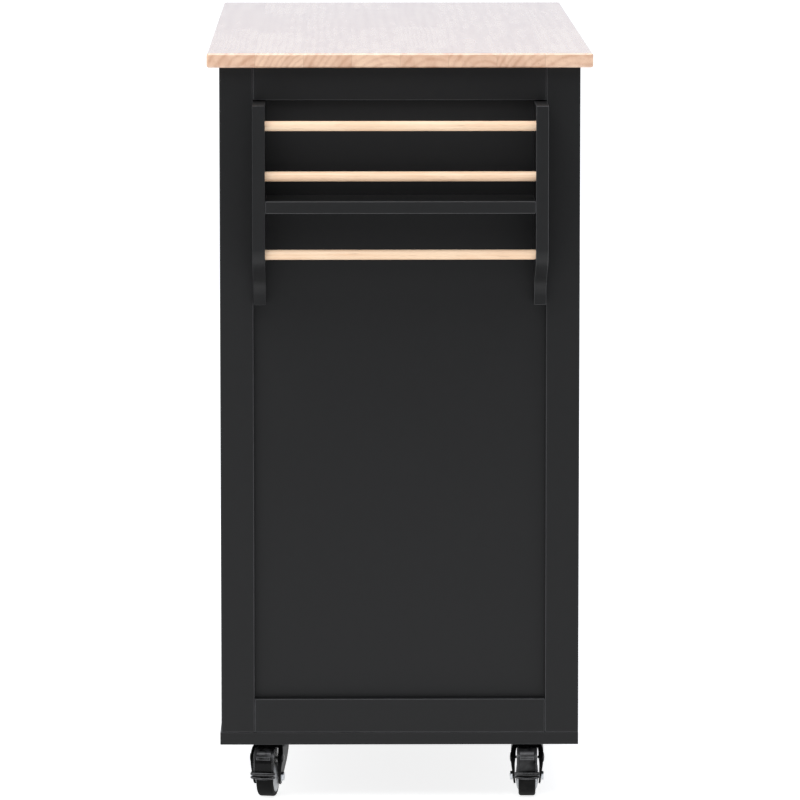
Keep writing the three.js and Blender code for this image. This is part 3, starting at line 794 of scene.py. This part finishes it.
for side in ("left", "right"):
    drawer = f"{side}_drawer"
    box_low, box_high, _ = middle(f"{drawer}_box")
    for place, hand in (("left", -1), ("right", 1)):
        node = f"{drawer}_{place}_runner"
        low, high, centre = middle(node)
        channel = copy_of(node)
        ease(channel, 0.3 * MM, segments=2)
        web_x = (low.x if hand < 0 else high.x) - hand * WEB_THICKNESS
        for y in (low.y + SCREW_INSET, centre.y, high.y - SCREW_INSET):
            flat_head(channel, (web_x, y, centre.z), (-hand, 0, 0), RUNNER_SCREW)
        new_piece(f"folded_{node}", channel, "zinc", "cabinet", [node])

        roller_x = web_x - hand * (ROLLER_WIDTH / 2 + ROLLER_GAP)
        front_roller = roller((roller_x, low.y + ROLLER_INSET, centre.z), hand)
        new_piece(f"{node}_front_roller", front_roller, "grey_plastic", "cabinet")

        box_side = box_low.x if hand < 0 else box_high.x
        angle_x = sorted(box_side + hand * reach for reach in (ANGLE_GAP, ANGLE_GAP + ANGLE_THICKNESS))
        angle_low = (angle_x[0], low.y + 2 * MM, centre.z - ANGLE_HALF_HEIGHT)
        angle = block(angle_low, (angle_x[1], high.y, centre.z + ANGLE_HALF_HEIGHT))
        ease(angle, 0.3 * MM, segments=2)
        new_piece(f"{node}_drawer_angle", angle, "zinc", drawer)
        back_roller = roller((roller_x, high.y - ROLLER_INSET, centre.z), hand)
        new_piece(f"{node}_back_roller", back_roller, "grey_plastic", drawer)
print("four runners, rollers", round(ROLLER_RADIUS * 2000), "mm across")

# %% [markdown]
# ## Shelf pins and the back's screws
# Each shelf lies on four pins in the cabinet's sides. What shows of a pin is a small plate against
# the side, with a flat tongue under the shelf. The thin back is held by a row of small screws
# round its edge.

# %% Small fixings
PIN_INSET = 0.05
PIN_HALF_WIDTH = 4 * MM

for side in ("left", "right"):
    low, high, _ = middle(f"shelf_{side}")
    pins = bmesh.new()
    for x, way in ((low.x, 1), (high.x, -1)):
        for y in (low.y + PIN_INSET, high.y - PIN_INSET):
            tongue = sorted((x, x + way * 10 * MM))
            front, rear = y - PIN_HALF_WIDTH, y + PIN_HALF_WIDTH
            block((tongue[0], front, low.z - 1.6 * MM), (tongue[1], rear, low.z - 0.2 * MM), pins)
            plate = sorted((x, x + way * 1.4 * MM))
            block((plate[0], front, low.z - 10 * MM), (plate[1], rear, low.z - 1.7 * MM), pins)
    ease(pins, 0.4 * MM, segments=2)
    new_piece(f"{side}_shelf_pins", pins, "nickel", "cabinet")

low, high, _ = middle("back_panel")
back_screws = bmesh.new()
SCREW_PITCH = 0.24
EDGE = 8 * MM
BACK_SCREW = 3 * MM
across = round((high.x - low.x) / SCREW_PITCH)
upward = round((high.z - low.z) / SCREW_PITCH)
places = [(low.x + EDGE + (high.x - low.x - 2 * EDGE) * i / across, z)
          for i in range(across + 1) for z in (low.z + EDGE, high.z - EDGE)]
places += [(x, low.z + (high.z - low.z) * i / upward)
           for i in range(1, upward) for x in (low.x + EDGE, high.x - EDGE)]
for x, z in places:
    flat_head(back_screws, (x, high.y, z), (0, 1, 0), BACK_SCREW)
new_piece("back_panel_screws", back_screws, "black_steel", "cabinet")
print(len(places), "screws hold the back")

# %% [markdown]
# ## Casters: where they stand
# A caster has swivelled to some angle, so its parts are modelled once in the caster's own frame,
# with the swivel axis upright through the origin and the wheel trailing along +X, and then turned
# into place. The joints say where: from the swivel's axis to the axle gives the angle.

# %% A caster's frame
CASTERS = ("rack_front", "rack_rear", "plain_front", "plain_rear")
TRAIL = 22 * MM
AXLE_HEIGHT = JOINT["rack_front_axle"]["pos_m"][2]


def caster_place(name):
    """The matrix that carries the caster's own frame to its place under the cart."""
    swivel = Vector(JOINT[f"{name}_swivel"]["pos_m"])
    axle = Vector(JOINT[f"{name}_axle"]["pos_m"])
    turn = math.atan2(axle.y - swivel.y, axle.x - swivel.x)
    return Matrix.Translation((swivel.x, swivel.y, 0)) @ Matrix.Rotation(turn, 4, "Z")


def set_down(bm, name):
    bmesh.ops.transform(bm, matrix=caster_place(name), verts=bm.verts)
    return bm


# %% [markdown]
# ## The fork
# The fork is one strip of steel, pressed into an arch: it comes up from one side of the axle, bends
# over the wheel and goes down the other side, narrow at the feet and wide at the crown, with its
# front edge turned in. A grid is the natural start. Its rows follow the arch and its columns spread
# between the front and rear edges, and then the sheet gets its thickness. The turned-in edge keeps
# some depth everywhere, because faces without width throw spikes when they are thickened. Booleans
# on blocks would leave hard, straight arms.

# %% Pressed forks
SHEET = 2.2 * MM
HEAD_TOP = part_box("base_board")[0][2] - 0.3 * MM
FORK_ROWS = 64
FORK_COLUMNS = 14
FLAT_COLUMNS = 11
SLOPE_STEP = 0.01
# Height, half width of the arch, rear edge, front edge and depth of the turned-in front edge, in mm
ARCH = [
    (15.2, 16.4, 20.0, 24.0, 0.9), (16.5, 16.6, 16.6, 27.4, 0.9), (19.5, 17.0, 13.6, 30.4, 0.9),
    (25, 17.5, 12.0, 32.4, 1.6), (33, 18.6, 8.5, 33.2, 3.4), (42, 19.8, 3.0, 33.0, 4.6),
    (51, 20.2, -4.0, 30.5, 6.0), (58, 19.9, -9.5, 26.5, 6.2), (63.2, 18.2, -13.0, 22.0, 6.4),
    (66.0, 14.2, -15.0, 19.5, 6.4), (66.7, 8.0, -15.5, 19.0, 6.8), (66.7, 0.0, -15.5, 19.0, 6.8),
]


def smooth_row(points, share):
    """A point on the curve through a list of points, by Catmull and Rom's rule."""
    place = share * (len(points) - 1)
    first = min(int(place), len(points) - 2)
    t = place - first
    p = [points[max(0, min(len(points) - 1, first + k))] for k in (-1, 0, 1, 2)]
    return [
        0.5 * (2 * b + (c - a) * t + (2 * a - 5 * b + 4 * c - d) * t * t
               + (3 * b - a - 3 * c + d) * t ** 3)
        for a, b, c, d in zip(*p)
    ]


def on_arch(along, across_sheet):
    """A point of the strip: along goes from foot to foot, across_sheet from the rear to the front."""
    height, half, rear, front, fold = smooth_row(ARCH, 1 - abs(along))
    hand = 1 if along > 0 else -1
    ahead = smooth_row(ARCH, min(1, 1 - abs(along) + SLOPE_STEP))
    behind = smooth_row(ARCH, max(0, 1 - abs(along) - SLOPE_STEP))
    slope = Vector((0, ahead[1] - behind[1], ahead[0] - behind[0])).normalized()
    inwards = Vector((0, -abs(slope.z) * hand, -abs(slope.y)))
    flat_share = min(1, across_sheet * FORK_COLUMNS / FLAT_COLUMNS)
    folded = max(0, across_sheet * FORK_COLUMNS - FLAT_COLUMNS) / (FORK_COLUMNS - FLAT_COLUMNS)
    rounding = math.sin(folded * math.pi / 2) * min(1, fold)
    point = Vector((rear + (front - rear) * flat_share + rounding, hand * half, height))
    return (point + inwards * fold * folded) * MM


def fork_sheet():
    bm = bmesh.new()
    bmesh.ops.create_grid(bm, x_segments=FORK_ROWS, y_segments=FORK_COLUMNS, size=1)
    for vert in bm.verts:
        vert.co = on_arch(vert.co.x, (vert.co.y + 1) / 2)
    bmesh.ops.remove_doubles(bm, verts=bm.verts, dist=1e-6)
    bmesh.ops.recalc_face_normals(bm, faces=bm.faces)
    outward = max(bm.faces, key=lambda face: face.calc_center_median().z)
    if outward.normal.z < 0:
        bmesh.ops.reverse_faces(bm, faces=bm.faces)
    bmesh.ops.solidify(bm, geom=bm.faces, thickness=SHEET)
    ease(bm, 0.4 * MM, segments=2, angle=60)
    return bm


def swivel_head():
    """The bearing cup between the crown and the base board."""
    radius = 19.5 * MM
    low = 66.9 * MM
    rise = HEAD_TOP - low
    profile = [(0, 0), (0, radius - 2 * MM), (0.8 * MM, radius), (rise, radius), (rise, 0)]
    head = lathe(profile, (0, 0, low), (0, 0, 1), 56)
    ease(head, 0.5 * MM, segments=2, angle=50)
    return head


for name in CASTERS:
    body = f"{name}_fork"
    fork = set_down(fork_sheet(), name)
    new_piece(f"{name}_caster_pressed_fork", fork, "black_steel", body, [f"{name}_caster_fork"])
    new_piece(f"{name}_caster_swivel_head", set_down(swivel_head(), name), "black_steel", body)
print("four forks from a strip of", FORK_ROWS, "by", FORK_COLUMNS, "faces")

# %% [markdown]
# ## Axle, nut and bolt
# The axle is a bolt through both arms: a round-cornered hex head on one side, and on the other a hex
# nut with the thread's end standing out. A hexagon comes from a circle of six vertices, extruded
# and eased.

# %% Axle bolts
HEX_RADIUS = 5.6 * MM
SHANK = 3 * MM
WASHER = 7 * MM
WASHER_THICKNESS = 0.4 * MM


def hexagon(bm, centre, radius, thickness, hand):
    made = bmesh.ops.create_circle(bm, cap_ends=True, segments=6, radius=radius)
    turn = Matrix.Translation(centre) @ Matrix.Rotation(math.radians(-90 * hand), 4, "X")
    bmesh.ops.transform(bm, matrix=turn, verts=made["verts"])
    face = next(face for face in made["verts"][0].link_faces if len(face.verts) == 6)
    grown = bmesh.ops.extrude_face_region(bm, geom=[face])
    moved = [item for item in grown["geom"] if isinstance(item, bmesh.types.BMVert)]
    bmesh.ops.translate(bm, vec=(0, hand * thickness, 0), verts=moved)


def axle_bolt():
    reach = 21.4 * MM
    seat = 17.6 * MM
    bolt = bmesh.new()
    for hand, thickness in ((-1, 3.4 * MM), (1, 3.0 * MM)):
        hexagon(bolt, (TRAIL, hand * seat, AXLE_HEIGHT), HEX_RADIUS, thickness, hand)
    bmesh.ops.recalc_face_normals(bolt, faces=bolt.faces)
    ease(bolt, 0.5 * MM, segments=2, angle=50)
    shank = [(-reach, 0), (-reach, 2.4 * MM), (-reach + 0.6 * MM, SHANK), (0, SHANK), (seat, SHANK)]
    shank += [(seat, WASHER), (seat + WASHER_THICKNESS, WASHER), (seat + WASHER_THICKNESS, 0)]
    return lathe(shank, (TRAIL, 0, AXLE_HEIGHT), (0, 1, 0), 28, bolt)


for name in CASTERS:
    new_piece(f"{name}_caster_axle_bolt", set_down(axle_bolt(), name), "zinc", f"{name}_fork")
print("axle bolts", round(HEX_RADIUS * math.sqrt(3) * 1000, 1), "mm across the flats")

# %% [markdown]
# ## Wheels
# The hub is a domed grey disc with a raised boss round the axle and a groove near its rim. The tyre is
# a ring with a flat tread, rounded shoulders and the fine ridge of its mould. Both are turned about
# the axle, as full circles, with enough steps to roll smoothly to the eye.

# %% Hubs and tyres
WHEEL = AXLE_HEIGHT
TYRE_HALF = 10.5 * MM
TYRE_INSIDE = WHEEL - 5.4 * MM


def hub():
    half = 13.8 * MM
    bore = 3.4 * MM
    rim = TYRE_INSIDE - 0.1 * MM
    one_side = [
        (half - 0.6 * MM, bore), (half, bore + 0.6 * MM), (half, 6.6 * MM), (half - 0.8 * MM, 7.2 * MM),
        (half - 0.9 * MM, 8.6 * MM), (half - 0.4 * MM, 9.4 * MM), (half - 0.8 * MM, 12.5 * MM),
        (half - 1.7 * MM, 15.6 * MM), (half - 2.6 * MM, 17.2 * MM), (half - 3.3 * MM, 17.6 * MM),
        (half - 3.3 * MM, 18.3 * MM), (half - 3.0 * MM, rim - 0.4 * MM), (half - 3.4 * MM, rim),
    ]
    profile = one_side + [(-along, radius) for along, radius in reversed(one_side)]
    return lathe(profile + [profile[0]], (TRAIL, 0, AXLE_HEIGHT), (0, 1, 0), 72)


def tyre():
    half = TYRE_HALF
    shoulder = 3.2 * MM
    turns = [step / 6 * math.pi / 2 for step in range(7)]
    corner = [
        (half - shoulder * (1 - math.sin(turn)), WHEEL - shoulder * (1 - math.cos(turn))) for turn in turns
    ]
    one_side = [(0.35 * MM, WHEEL), *corner, (half, TYRE_INSIDE)]
    ridge = [(0, WHEEL)]
    profile = [(-along, radius) for along, radius in reversed(one_side)] + ridge + one_side
    return lathe(profile + [profile[0]], (TRAIL, 0, AXLE_HEIGHT), (0, 1, 0), 96)


for name in CASTERS:
    body = f"{name}_wheel"
    wheel, ring = f"{name}_caster_wheel", f"{name}_caster_tyre"
    new_piece(f"{name}_caster_hub", set_down(hub(), name), "grey_plastic", body, [wheel], 45)
    new_piece(f"{name}_caster_tread", set_down(tyre(), name), "black_rubber", body, [ring], 45)
print("wheels", round(WHEEL * 2000), "mm across")

# %% [markdown]
# ## Brake pedals
# The pedal is a hood over the wheel with a wide lip for the shoe. Its middle is sunk between two
# side flanges, two ribs give grip at the top, and it turns on a pivot on each side. The lip is two
# bands with a recess between them, and the lower band sags in the middle. Each of these but the
# pivots is a flat outline that is pushed out: across the caster, or upwards for the lip.

# %% Pedal shapes


def push_out(bm, outline, plane, low, high, radius=0.0):
    """Closes an outline of (a, b) points, in mm, and pushes it from low to high along the third axis."""
    lift = {"side": lambda a, b, c: (a, c, b), "plan": lambda a, b, c: (a, b, c)}[plane]
    verts = [bm.verts.new(Vector(lift(a, b, low)) * MM) for a, b in outline]
    face = bm.faces.new(verts)
    grown = bmesh.ops.extrude_face_region(bm, geom=[face])
    moved = [item for item in grown["geom"] if isinstance(item, bmesh.types.BMVert)]
    step = Vector(lift(0, 0, high - low)) * MM
    bmesh.ops.translate(bm, vec=step, verts=moved)
    faces = list({near for vert in verts + moved for near in vert.link_faces})
    bmesh.ops.recalc_face_normals(bm, faces=faces)
    if radius:
        edges = list({edge for near in faces for edge in near.edges})
        ease(bm, radius * MM, segments=2, angle=40, edges=edges)


def bend(start, control, end, steps=7):
    """Points of a quadratic curve."""
    shares = [step / steps for step in range(steps + 1)]
    return [
        tuple((1 - t) ** 2 * a + 2 * t * (1 - t) * b + t * t * c for a, b, c in zip(start, control, end))
        for t in shares
    ]


HOOD = [
    (51, 27.5), (51, 44), *bend((51, 45), (50.4, 54), (44.5, 58.5)),
    *bend((44, 58.9), (40, 61.6), (35, 61.6)),
]
HOOD_BACK = [(24.5, 61.6), (24.5, 59.8), (35, 59.8), *bend((38, 59.6), (46, 56), (48.8, 44)), (48.8, 27.5)]
FLANGE = [
    (49, 28), (51.5, 33), (51.6, 44), *bend((51.6, 45), (51.2, 54.6), (45, 59.4)),
    *bend((44.4, 59.8), (40, 62.5), (35, 62.5)), (24, 62.5), (23.7, 49),
    *bend((23.7, 48.6), (24.4, 45.7), (27, 45.6)), *bend((29, 45.6), (41, 47), (46.5, 40)),
]
LIP = [
    (48.8, -13.4), *bend((49.5, -14.2), (51.5, -15.5), (54, -15.5)),
    *bend((54.8, -15.5), (57.2, -15), (57.2, -11)),
    *bend((57.2, -10), (58, 0), (57.2, 10)), *bend((57.2, 11), (57.2, 15), (54.8, 15.5)),
    *bend((54, 15.5), (51.5, 15.5), (49.5, 14.2)), (48.8, 13.4),
]

# %% Pedals and their pivots
LIP_SAG = 1.6 * MM
PEDAL_HALF = 12.7
PIVOT_X = 27 * MM
PIVOT_Z = 49 * MM


def join_into(bm, other):
    """Moves everything in one bmesh into another."""
    mesh = bpy.data.meshes.new("passing")
    other.to_mesh(mesh)
    other.free()
    bm.from_mesh(mesh)
    bpy.data.meshes.remove(mesh)


def pedal():
    bm, sag_lip = bmesh.new(), bmesh.new()
    for part in (bm, sag_lip):
        part.faces.layers.float.new("arris")
    push_out(bm, HOOD + HOOD_BACK, "side", -10.9, 10.9)
    for low, high in ((-PEDAL_HALF, -10.8), (10.8, PEDAL_HALF)):
        push_out(bm, FLANGE, "side", low, high, 0.35)
    push_out(bm, LIP, "plan", 31.6, 34.5, 0.5)
    push_out(sag_lip, LIP, "plan", 27.5, 29.6, 0.5)
    for vert in sag_lip.verts:
        vert.co.z -= LIP_SAG * max(0, 1 - (vert.co.y / (14 * MM)) ** 2)
    join_into(bm, sag_lip)
    inner = [(x * 0.12 + 48.0, y * 0.86) for x, y in LIP]
    push_out(bm, inner, "plan", 29.4, 31.8)
    for x, z, lean in ((46.3, 57.6, 1.9), (50.5, 51.6, 1.5)):
        rib = [(x - 1.2, z - 1.9), (x + lean, z - 1.9), (x + lean, z + 0.2)]
        rib += [(x + 0.4, z + 1.9), (x - 1.2, z + 1.9)]
        push_out(bm, rib, "side", -8.6, 8.6, 0.5)
    return bm


def pivots():
    bm = bmesh.new()
    for hand in (-1, 1):
        profile = [(0, 0), (0, 1.7 * MM), (6.2 * MM, 1.7 * MM), (6.2 * MM, 5.4 * MM)]
        profile += [(6.9 * MM, 5.4 * MM), *dome(6.2 * MM, 1.6 * MM, 7.0 * MM)]
        start = (PIVOT_X, hand * (PEDAL_HALF + 0.2) * MM, PIVOT_Z)
        lathe(profile, start, (0, hand, 0), 32, bm)
    return bm


for name in ("rack_front", "rack_rear"):
    node = f"{name}_caster_brake_pedal"
    new_piece(f"{name}_caster_pedal", set_down(pedal(), name), "black_plastic", f"{name}_pedal", [node])
    new_piece(f"{name}_caster_pedal_pivots", set_down(pivots(), name), "black_plastic", f"{name}_fork")
print("two brake pedals")

# %% [markdown]
# ## The count of faces
# The count of faces shows whether any piece grew out of hand.

# %% Count of faces
depsgraph = bpy.context.evaluated_depsgraph_get()
faces = sum(len(piece.evaluated_get(depsgraph).to_mesh().polygons) for piece in PIECES)
print(len(PIECES), "pieces,", faces, "faces")
